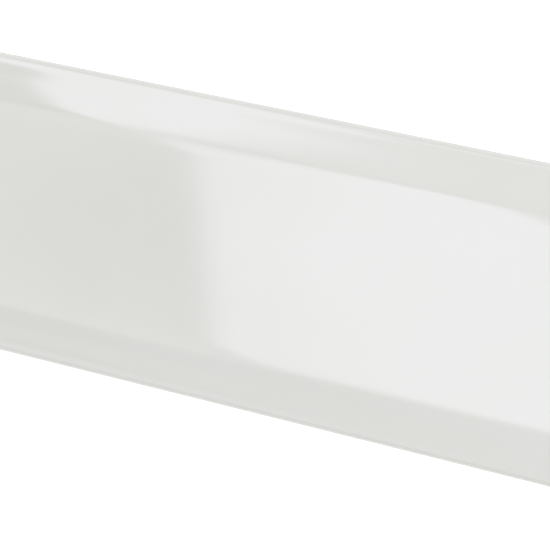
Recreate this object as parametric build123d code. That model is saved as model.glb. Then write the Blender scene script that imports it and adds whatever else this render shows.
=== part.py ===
from build123d import *
from math import radians, sin
import os

# Glazed wall tile lying on its back, face up: X along it, Y across it, origin under its centre
# Overall size in mm
length = 300.0
width = 100.0
thickness = 8.5

# Glazed edge, from the flat field outwards: it eases over a soft ridge, swells, hollows a little
# before the lip and rolls over the rim. A stretch has a width in mm and an end slope in degrees.
ease_width = 4.0
ease_slope = 2.8
ridge_width = 2.6
ridge_slope = 8.8
swell_width = 6.0
swell_slope = 11.7
hollow_width = 3.6
hollow_slope = 10.2
lip_width = 1.9
lip_slope = 14.0
rim_radius = 3.0
corner_radius = 3.5

# Back: rows of shallow keying recesses along the tile, inside a plain border
foot_chamfer = 0.5
key_border = 8.0
key_width = 6.5
key_rib = 4.5
key_depth = 0.6
key_draft = 30.0


def edge_curve():
    """The glazed edge as a chain of tangent arcs, from the field's end at X = 0 to the upright side."""
    stretches = (
        (ease_width, ease_slope),
        (ridge_width, ridge_slope),
        (swell_width, swell_slope),
        (hollow_width, hollow_slope),
        (lip_width, lip_slope),
    )
    curve = Curve()
    point = Vector(0, thickness)
    tangent = Vector(1, 0)
    slope = 0.0
    for stretch_width, end_slope in stretches:
        bend = stretch_width / (sin(radians(end_slope)) - sin(radians(slope)))
        arc = JernArc(point, tangent, abs(bend), slope - end_slope)
        curve += arc
        point = arc @ 1
        tangent = arc % 1
        slope = end_slope
    return curve + JernArc(point, tangent, rim_radius, slope - 90)


glazed_edge = edge_curve()
edge_width = (glazed_edge @ 1).X


def raised_section(span):
    """Section of the tile from side to side, standing on its foot."""
    field_end = span / 2 - edge_width
    edge = Pos(field_end, 0) * glazed_edge
    foot = Polyline(
        edge @ 1,
        (span / 2, foot_chamfer),
        (span / 2 - foot_chamfer, 0),
        (0, 0),
        (0, thickness),
        (field_end, thickness),
    )
    half = make_face([*edge.edges(), *foot.edges()])
    return half + mirror(half, Plane.YZ)


def turned_corner():
    """The outer strip of the section, turned a quarter about the centre of the corner's arc."""
    inner_end = width / 2 - corner_radius
    strip = Pos(inner_end, 0) * Rectangle(corner_radius, thickness, align=Align.MIN)
    outer_strip = Pos(-inner_end, 0) * (raised_section(width) & strip)
    quarter = revolve(Plane.XZ * outer_strip, Axis.Z, 90)
    return Pos(length / 2 - corner_radius, inner_end, 0) * quarter


def at_each_corner(piece):
    """The piece with its mirror images in both centre planes."""
    pair = piece + mirror(piece, Plane.YZ)
    return pair + mirror(pair, Plane.XZ)


def pressed_body():
    """The cross and long sections intersected, so that the edges meet in mitres, with turned corners."""
    across = extrude(Plane.YZ * raised_section(width), length / 2, both=True)
    along = extrude(Plane.XZ * raised_section(length), width / 2, both=True)
    corner_block = Box(corner_radius, corner_radius, thickness, align=(Align.MAX, Align.MAX, Align.MIN))
    square_corner = Pos(length / 2, width / 2, 0) * corner_block
    return (across & along) - at_each_corner(square_corner) + at_each_corner(turned_corner())


def keying_recesses():
    """Round-ended recesses with drafted sides, in as many rows as the back has room for."""
    pitch = key_width + key_rib
    rows = int((width - 2 * key_border + key_rib) / pitch)
    mouth = SlotOverall(length - 2 * key_border, key_width)
    recess = extrude(mouth, key_depth, taper=key_draft)
    return GridLocations(length, pitch, 1, rows) * recess


wall_tile = pressed_body() - keying_recesses()

os.makedirs("parts", exist_ok=True)
export_step(wall_tile, "parts/wall_tile.step")
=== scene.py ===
from math import copysign, cos, radians, sin

import bmesh
import bpy
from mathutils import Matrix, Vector, noise


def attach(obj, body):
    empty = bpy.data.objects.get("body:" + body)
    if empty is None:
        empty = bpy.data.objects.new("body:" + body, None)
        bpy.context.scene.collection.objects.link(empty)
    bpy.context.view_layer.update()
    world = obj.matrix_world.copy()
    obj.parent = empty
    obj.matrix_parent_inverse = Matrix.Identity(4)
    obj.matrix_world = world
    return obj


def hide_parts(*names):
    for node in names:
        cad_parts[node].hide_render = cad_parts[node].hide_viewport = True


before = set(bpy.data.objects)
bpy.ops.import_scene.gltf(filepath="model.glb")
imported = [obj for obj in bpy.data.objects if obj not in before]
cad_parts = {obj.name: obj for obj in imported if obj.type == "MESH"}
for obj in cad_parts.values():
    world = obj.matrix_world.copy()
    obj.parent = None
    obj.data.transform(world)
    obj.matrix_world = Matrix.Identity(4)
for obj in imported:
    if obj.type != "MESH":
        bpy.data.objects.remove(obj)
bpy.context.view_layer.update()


class Socket:  # a shader socket that takes part in Python expressions
    def __init__(self, tree, socket=None):
        self.tree = tree
        self.socket = socket

    def node(self, kind, inputs=None, settings=None, output=0):  # a new node of the same material
        made = self.tree.nodes.new("ShaderNode" + kind)
        for name, value in (settings or {}).items():
            setattr(made, name, value)
        for name, value in (inputs or {}).items():
            if isinstance(value, Socket):
                self.tree.links.new(value.socket, made.inputs[name])
            else:
                made.inputs[name].default_value = value
        return Socket(self.tree, made.outputs[output] if made.outputs else None)

    def math(self, operation, *values):
        return self.node("Math", dict(enumerate(values)), {"operation": operation})

    def __add__(self, other):
        return self.math("ADD", self, other)

    def __radd__(self, other):
        return self.math("ADD", other, self)

    def __sub__(self, other):
        return self.math("SUBTRACT", self, other)

    def __rsub__(self, other):
        return self.math("SUBTRACT", other, self)

    def __mul__(self, other):
        return self.math("MULTIPLY", self, other)

    def __rmul__(self, other):
        return self.math("MULTIPLY", other, self)

    def larger(self, other):
        return self.math("MAXIMUM", self, other)

    def rise(self, start, end):  # 0 up to start, 1 from end on, with a smooth step between
        ends = {"Value": self, "From Min": start, "From Max": end}
        return self.node("MapRange", ends, {"interpolation_type": "SMOOTHSTEP"})

    def blend(self, plain, marked):  # plain where this value is 0, marked where it is 1
        return self.node("Mix", {0: self, 6: plain, 7: marked}, {"data_type": "RGBA"}, output=2)

    def cloud(self, size, detail=2.0, roughness=0.5):  # noise whose lumps are about size across
        look = {"Vector": self, "Scale": 1 / size, "Detail": detail, "Roughness": roughness}
        return self.node("TexNoise", look)

    def axis(self, number):  # 0, 1 or 2 for x, y or z
        return self.node("SeparateXYZ", {0: self}, output=number)

    def seen(self):  # 1 for what the camera sees straight, mirrored or through glass
        camera = self.node("LightPath", output="Is Camera Ray")
        mirrored = self.node("LightPath", output="Is Glossy Ray")
        through = self.node("LightPath", output="Is Transmission Ray")
        return camera.larger(mirrored).larger(through)

    def bumped(self):  # a normal that follows this height, in metres
        return self.node("Bump", {"Height": self, "Distance": 1.0, "Strength": 1.0})

    def toOutput(self, kind="OutputMaterial"):
        self.node(kind, {"Surface": self})


def newMaterial(name):
    material = bpy.data.materials.new(name)
    material.use_nodes = True
    material.node_tree.nodes.clear()
    return material, Socket(material.node_tree)


def newObject(name, bm, materials):
    mesh = bpy.data.meshes.new(name)
    bm.to_mesh(mesh)
    bm.free()
    for material in materials:
        mesh.materials.append(material)
    made = bpy.data.objects.new(name, mesh)
    bpy.context.scene.collection.objects.link(made)
    return made


# Wall tile, in mm: the field, the glazed edge round it, the side, the foot and the ribbed back
wallTile = {
    "length": 300.0,
    "width": 100.0,
    "thickness": 8.5,
    "cell": 2.5,  # spacing of the mesh on the field
    "edge": [  # from the field outwards: width, slope at its end in degrees, steps
        (4.0, 2.8, 8),  # ease
        (2.6, 8.8, 8),  # soft ridge
        (6.0, 11.7, 8),  # swell
        (3.6, 9.7, 6),  # hollow
        (1.9, 14.0, 5),  # lip
    ],
    "rimRadius": 3.0,
    "rimSteps": 18,
    "mitreRadius": 1.0,  # softness of the mitres beside the field
    "cornerRadius": 3.5,
    "cornerGrowth": 3,  # power by which mitreRadius grows to cornerRadius, high for crisp mitres
    "cornerSteps": 10,
    "glazeEnd": 1.9,  # height at which the glaze stops on the side
    "glazeBead": [  # inset, and height above glazeEnd
        (0.0, 0.35),
        (0.02, 0.16),
        (0.06, 0.04),
        (0.12, 0.0),
    ],
    "glazeWander": [  # how the glaze's end wavers: length of the waves, and their height
        (14.0, 0.4),
        (3.5, 0.16),
    ],
    "foot": [  # inset and height
        (0.12, 0.62),
        (0.15, 0.5),
        (0.52, 0.1),
        (0.62, 0.02),
        (0.7, 0.0),
    ],
    "clayTop": 0.9,  # below this height every face is bare clay
    "keyRows": 8,
    "keyPitch": 11.0,
    "keyLength": 284.0,
    "keyWidth": 6.5,
    "keySegments": 26,
    "keyWall": [  # inset and depth of each step
        (0.05, 0.02),
        (0.05, 0.05),
        (0.3, 0.46),
        (0.05, 0.05),
        (0.05, 0.02),
    ],
}


def edgeProfile(tile):  # distance out from the field and drop below it, ring by ring
    rings = []
    out = drop = slope = 0.0
    for width, endSlope, steps in tile["edge"] + [(None, 90.0, tile["rimSteps"])]:
        rise = sin(radians(endSlope)) - sin(radians(slope))
        bend = tile["rimRadius"] if width is None else width / rise
        for step in range(1, steps + 1):
            angle = radians(slope + (endSlope - slope) * step / steps)
            rings.append((
                out + bend * (sin(angle) - sin(radians(slope))),
                drop + bend * (cos(radians(slope)) - cos(angle)),
            ))
        out, drop = rings[-1]
        slope = endSlope
    return rings


def growRing(bm, edges, old, new, height, material):
    # extrudes the open rim from one rounded rectangle to the next, and gives its points and edges.
    # Old and new are the half length, the half width and the corner radius, in mm
    made = bmesh.ops.extrude_edge_only(bm, edges=edges)["geom"]
    verts = [item for item in made if isinstance(item, bmesh.types.BMVert)]
    for face in (item for item in made if isinstance(item, bmesh.types.BMFace)):
        face.material_index = material
    coreX, coreY = old[0] - old[2], old[1] - old[2]
    slack = 1e-5
    for vert in verts:
        x, y = abs(vert.co.x), abs(vert.co.y)
        overX, overY = x - coreX, y - coreY
        if overX > -slack and overY > -slack:  # on a corner's arc
            x = new[0] - new[2] + overX * new[2] / old[2]
            y = new[1] - new[2] + overY * new[2] / old[2]
        elif overX > 0:
            x = new[0]
        else:
            y = new[1]
        vert.co = (copysign(x, vert.co.x), copysign(y, vert.co.y), height)
    isNew = set(verts)
    return verts, [
        item for item in made
        if isinstance(item, bmesh.types.BMEdge) and set(item.verts) <= isNew
    ]


def keyRecesses(bm, tile):
    # round-ended recesses in rows along the back, loose until the back is filled in round them
    stretch = (tile["keyLength"] - tile["keyWidth"]) / 2
    floors = []
    for row in range(tile["keyRows"]):
        middle = (row - (tile["keyRows"] - 1) / 2) * tile["keyPitch"]
        disc = bmesh.ops.create_circle(
            bm, cap_ends=True, radius=tile["keyWidth"] / 2, segments=tile["keySegments"]
        )["verts"]
        for vert in disc:
            vert.co.x += copysign(stretch, vert.co.x)
            vert.co.y += middle
        floors += disc[0].link_faces
    for inset, depth in tile["keyWall"]:
        bmesh.ops.inset_individual(bm, faces=floors, thickness=inset, use_even_offset=True)
        points = {vert for face in floors for vert in face.verts}
        bmesh.ops.translate(bm, verts=list(points), vec=(0, 0, depth))
    return floors


def buildWallTile(tile, materials):
    glaze, clay = range(2)
    profile = edgeProfile(tile)
    edgeWidth = profile[-1][0]
    half = Vector((tile["length"] / 2, tile["width"] / 2))
    field = half - Vector((edgeWidth, edgeWidth))

    def outline(inset):  # of the side, drawn in by inset
        return half.x - inset, half.y - inset, tile["cornerRadius"] - inset

    bm = bmesh.new()
    bmesh.ops.create_grid(
        bm,
        x_segments=round(2 * field.x / tile["cell"]),
        y_segments=round(2 * field.y / tile["cell"]),
        size=1.0,
    )
    bmesh.ops.scale(bm, verts=bm.verts, vec=(field.x, field.y, 1))
    bmesh.ops.translate(bm, verts=bm.verts, vec=(0, 0, tile["thickness"]))
    bmesh.ops.bevel(
        bm,
        geom=[vert for vert in bm.verts if len(vert.link_edges) == 2],
        offset=tile["mitreRadius"],
        affect="VERTICES",
        segments=tile["cornerSteps"],
        profile=0.5,
        material=-1,
    )
    rim = [edge for edge in bm.edges if edge.is_boundary]

    old = (field.x, field.y, tile["mitreRadius"])
    for out, drop in profile:
        share = (out / edgeWidth) ** tile["cornerGrowth"]
        radius = tile["mitreRadius"] + (tile["cornerRadius"] - tile["mitreRadius"]) * share
        new = (field.x + out, field.y + out, radius)
        verts, rim = growRing(bm, rim, old, new, tile["thickness"] - drop, glaze)
        old = new
    for inset, above in tile["glazeBead"]:
        new = outline(inset)
        verts, rim = growRing(bm, rim, old, new, tile["glazeEnd"] + above, glaze)
        for vert in verts:
            vert.co.z += sum(
                height * noise.noise(vert.co / size) for size, height in tile["glazeWander"]
            )
        old = new
    for inset, height in tile["foot"]:
        new = outline(inset)
        verts, rim = growRing(bm, rim, old, new, height, clay)
        old = new

    keyFloors = keyRecesses(bm, tile)
    backEdges = [edge for edge in bm.edges if edge.is_boundary]
    bmesh.ops.triangle_fill(bm, use_beauty=True, edges=backEdges)
    for edge in backEdges + [edge for face in keyFloors for edge in face.edges]:
        edge.smooth = False
    for face in bm.faces:
        face.smooth = True
        if face.calc_center_median().z < tile["clayTop"]:
            face.material_index = clay
    bmesh.ops.recalc_face_normals(bm, faces=bm.faces)
    bmesh.ops.scale(bm, verts=bm.verts, vec=(0.001, 0.001, 0.001))  # from mm to metres
    print("wall tile:", len(bm.verts), "points,", len(bm.faces), "faces, open edges",
          sum(edge.is_boundary for edge in bm.edges))
    return newObject("wallTile", bm, materials)


# White gloss glaze, sizes in metres
glazeLook = {
    "colour": (0.724, 0.726, 0.700, 1),
    "thinColour": (0.710, 0.711, 0.680, 1),  # where the glaze is thin over the clay
    "thinSize": 0.03,
    "thinRange": (0.35, 0.75),
    "thinShare": 0.6,
    "roughness": (0.035, 0.06),
    "dullSize": 0.012,  # size of the patches that are a little less smooth
    "ior": 1.54,
    "peelSize": 0.0035,
    "peelHeight": 5e-7,
    "swellSize": 0.028,
    "swellHeight": 1.5e-6,
}


def glazeMaterial(look):
    material, tree = newMaterial("whiteGlaze")
    place = tree.node("TexCoord", output="Object")
    thin = place.cloud(look["thinSize"], detail=3.0).rise(*look["thinRange"]) * look["thinShare"]
    smooth, dull = look["roughness"]
    peel = place.cloud(look["peelSize"], detail=1.0) * look["peelHeight"]
    swell = place.cloud(look["swellSize"], detail=1.0) * look["swellHeight"]
    tree.node("BsdfPrincipled", {
        "Base Color": thin.blend(look["colour"], look["thinColour"]),
        "Roughness": place.cloud(look["dullSize"]) * (dull - smooth) + smooth,
        "IOR": look["ior"],
        "Normal": (peel + swell).bumped(),
    }).toOutput()
    return material


# Unglazed clay of the back and of the foot, sizes in metres
clayLook = {
    "colour": (0.70, 0.655, 0.58, 1),
    "paleColour": (0.80, 0.775, 0.72, 1),  # kiln wash, on the high places only
    "paleSize": 0.012,
    "paleRange": (0.44, 0.6),
    "highDepth": 0.0003,  # how far up from the resting plane the kiln wash reaches
    "speckColour": (0.52, 0.46, 0.38, 1),
    "speckSize": 0.0016,
    "speckRange": (0.7, 0.76),
    "speckShare": 0.5,
    "roughness": (0.75, 0.92),
    "grainSize": 0.0006,
    "grainHeight": 4e-5,
}


def clayMaterial(look):
    material, tree = newMaterial("firedClay")
    place = tree.node("TexCoord", output="Object")
    grain = place.cloud(look["grainSize"], detail=3.0)
    patches = place.cloud(look["paleSize"], detail=6.0, roughness=0.65)
    high = 1 - place.axis(2).rise(0.0, look["highDepth"])
    pale = high * patches.rise(*look["paleRange"])
    specks = place.cloud(look["speckSize"], detail=1.0).rise(*look["speckRange"])
    colour = pale.blend(look["colour"], look["paleColour"])
    smooth, dull = look["roughness"]
    tree.node("BsdfPrincipled", {
        "Base Color": (specks * look["speckShare"]).blend(colour, look["speckColour"]),
        "Roughness": grain * (dull - smooth) + smooth,
        "Normal": (grain * look["grainHeight"]).bumped(),
    }).toOutput()
    return material


tileObject = buildWallTile(wallTile, [glazeMaterial(glazeLook), clayMaterial(clayLook)])
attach(tileObject, "root")
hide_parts("wall_tile")
print("wall tile tied to the frame")

# Pale floor that keeps a faint shadow. Its glow makes it white for the camera and in reflections
floorLook = {"size": 8.0, "colour": (0.8, 0.8, 0.8, 1), "glow": 0.42}


def buildFloor(look):
    material, tree = newMaterial("paleFloor")
    diffuse = tree.node("BsdfDiffuse", {"Color": look["colour"]})
    glow = tree.node("Emission", {"Strength": look["glow"]})
    both = tree.node("AddShader", {0: diffuse, 1: glow})
    tree.node("MixShader", {0: tree.seen(), 1: diffuse, 2: both}).toOutput()
    bm = bmesh.new()
    bmesh.ops.create_grid(bm, x_segments=1, y_segments=1, size=look["size"] / 2)
    return newObject("floor", bm, [material])


# Light cards over the tile, in metres. The camera doesn't see them, only their reflections.
# An edge is the direction of its inward side in degrees, its distance along that direction
# and the width over which the light fades in. The reach is left, right, near and far
cards = {
    "softbox": {
        "height": 3.0,
        "reach": (-1.7, 0.1, -1.1, 0.8),
        "edges": [
            (17.0, -1.156, 0.08),
            (-74.6, -0.527, 0.26),
            (211.3, 0.261, 0.18),
            (95.5, -0.80, 0.22),
        ],
        "light": (2.82, 2.82, 3.10, 1),
        "innerLight": (3.36, 3.38, 3.76, 1),  # away from the first edge
        "spread": 0.45,  # width over which light turns into innerLight
    },
    "highWedge": {
        "height": 3.02,
        "reach": (-2.6, 0.0, -0.4, 5.5),
        "edges": [
            (16.3, -1.204, 0.055),
            (157.8, 1.08, 0.4),
            (197.8, 0.25, 0.25),
            (-90.0, -5.0, 3.6),
        ],
        "light": (2.97, 2.94, 3.36, 1),
    },
    "farStrip": {
        "height": 3.03,
        "reach": (-4.5, 0.0, 1.0, 5.5),
        "edges": [(90.0, 1.2, 0.2), (197.8, 0.25, 0.25), (-90.0, -5.0, 3.6)],
        "light": (2.97, 2.94, 3.36, 1),
    },
    "dimSpill": {
        "height": 3.04,
        "reach": (-1.8, 0.0, 0.1, 1.6),
        "edges": [
            (16.3, -1.1, 0.4),
            (90.0, 0.15, 0.3),
            (-90.0, -1.4, 0.3),
            (180.0, 0.3, 0.5),
        ],
        "light": (1.2, 1.2, 1.22, 1),
    },
    "lowSpill": {
        "height": 3.05,
        "reach": (-2.1, 0.2, -2.4, -0.7),
        "edges": [
            (0.0, -2.0, 0.1),
            (-90.0, 0.85, 0.25),
            (90.0, -2.3, 0.6),
            (180.0, -0.2, 0.3),
        ],
        "light": (0.0, 0.0, 0.0, 1),
        "innerLight": (1.0, 0.92, 1.1, 1),
        "spread": 1.8,
    },
    "dimCorner": {
        "height": 3.06,
        "reach": (-2.6, -1.3, 0.1, 1.3),
        "edges": [
            (196.3, 1.18, 0.09),
            (90.0, 0.1, 0.4),
            (-90.0, -1.25, 0.12),
            (0.0, -2.5, 0.3),
        ],
        "light": (0.05, 0.1, 0.0, 1),
    },
    "dimPanel": {
        "height": 3.10,
        "reach": (-2.0, 0.4, -1.0, 0.4),
        "edges": [
            (0.0, -1.9, 0.1),
            (-80.7, -0.25, 0.5),
            (80.0, -0.912, 0.5),
            (180.0, -0.4, 0.4),
        ],
        "light": (0.55, 0.62, 0.4, 1),
        "innerLight": (0.0, 0.1, 0.0, 1),
        "spread": 0.75,
    },
    "keyPanel": {
        "height": 2.6,
        "reach": (0.9, 3.3, -1.5, 1.7),
        "edges": [
            (0.0, 0.9, 0.4),
            (180.0, -3.3, 0.4),
            (90.0, -1.5, 0.4),
            (270.0, -1.7, 0.4),
        ],
        "light": (2.2, 2.2, 2.25, 1),
        "lightsUp": True,  # it lights the tile as well
    },
}


def buildCard(name, card):
    material, tree = newMaterial(name)
    place = tree.node("TexCoord", output="Object")
    x, y = place.axis(0), place.axis(1)
    lit = 1.0
    inward = []
    for angle, offset, fade in card["edges"]:
        inward.append(x * cos(radians(angle)) + y * sin(radians(angle)) - offset)
        lit = inward[-1].rise(0, fade) * lit
    colour = card["light"]
    if "innerLight" in card:
        colour = inward[0].rise(0, card["spread"]).blend(colour, card["innerLight"])
    clear = tree.node("BsdfTransparent")
    glow = tree.node("Emission", {"Color": colour, "Strength": 1.0})
    tree.node("MixShader", {0: lit, 1: clear, 2: glow}).toOutput()
    left, right, near, far = card["reach"]
    middle = ((left + right) / 2, (near + far) / 2, card["height"])
    bm = bmesh.new()
    bmesh.ops.create_grid(bm, x_segments=1, y_segments=1, size=0.5)
    bmesh.ops.scale(bm, verts=bm.verts, vec=(right - left, far - near, 1))
    bmesh.ops.translate(bm, verts=bm.verts, vec=middle)
    made = newObject(name, bm, [material])
    made.visible_camera = False
    made.visible_diffuse = card.get("lightsUp", False)
    return made


# Pale wall round the stage, seen in reflections only, dim at the floor and brightest half way up
wallLook = {
    "radius": 6.5,
    "height": 9.5,
    "segments": 64,
    "foot": 0.4,  # light at the floor
    "peak": 1.5,
    "rise": (1.0, 4.5),  # heights between which the light rises
    "fade": (6.5, 9.3),  # heights between which the wall ends softly
    "lean": (0.35, 0.15),  # share of extra light towards +X and +Y
}


def buildStageWall(look):
    material, tree = newMaterial("stageWall")
    place = tree.node("TexCoord", output="Object")
    towardX, towardY = (share / look["radius"] for share in look["lean"])
    lean = place.axis(0) * towardX + place.axis(1) * towardY + 1
    height = place.axis(2)
    light = height.rise(*look["rise"]) * (look["peak"] - look["foot"]) + look["foot"]
    glow = tree.node("Emission", {"Strength": light * lean})
    clear = tree.node("BsdfTransparent")
    tree.node("MixShader", {0: height.rise(*look["fade"]), 1: glow, 2: clear}).toOutput()
    bm = bmesh.new()
    bmesh.ops.create_cone(
        bm,
        cap_ends=False,
        segments=look["segments"],
        radius1=look["radius"],
        radius2=look["radius"],
        depth=look["height"],
    )
    bmesh.ops.translate(bm, verts=bm.verts, vec=(0, 0, look["height"] / 2))
    made = newObject("stageWall", bm, [material])
    made.visible_camera = False
    made.visible_diffuse = False
    return made


floor = buildFloor(floorLook)
stageWall = buildStageWall(wallLook)
[buildCard(name, card) for name, card in cards.items()]
print("stage: floor, wall and", len(cards), "light cards")

# Even light from all round, with a larger share from +X and +Y. The camera sees plain white
skyLook = {"light": 0.98, "lean": (0.7, 0.15)}


def buildSky(look):
    world = bpy.data.worlds.new("studio")
    bpy.context.scene.world = world
    world.use_nodes = True
    world.node_tree.nodes.clear()
    tree = Socket(world.node_tree)
    direction = tree.node("TexCoord", output="Generated")
    towardX, towardY = look["lean"]
    light = (direction.axis(0) * towardX + direction.axis(1) * towardY + 1) * look["light"]
    ambient = tree.node("Background", {"Color": (1, 1, 1, 1), "Strength": light})
    white = tree.node("Background", {"Color": (1, 1, 1, 1), "Strength": 1.0})
    tree.node("MixShader", {0: tree.seen(), 1: ambient, 2: white}).toOutput("OutputWorld")


buildSky(skyLook)

# Camera high over the tile, close enough for both ends to run out of the picture
cameraLook = {
    "lens": 133.96,
    "place": (0.19831, 0.07126, 0.64153),
    "turn": (-2.971, 18.001, 11.353),  # degrees
}


def buildCamera(look):
    camera = bpy.data.objects.new("camera", bpy.data.cameras.new("camera"))
    bpy.context.scene.collection.objects.link(camera)
    camera.data.lens = look["lens"]
    camera.location = look["place"]
    camera.rotation_euler = [radians(angle) for angle in look["turn"]]
    return camera


bpy.context.scene.camera = buildCamera(cameraLook)
bpy.context.scene.view_settings.view_transform = "Standard"
print("sky and camera set")
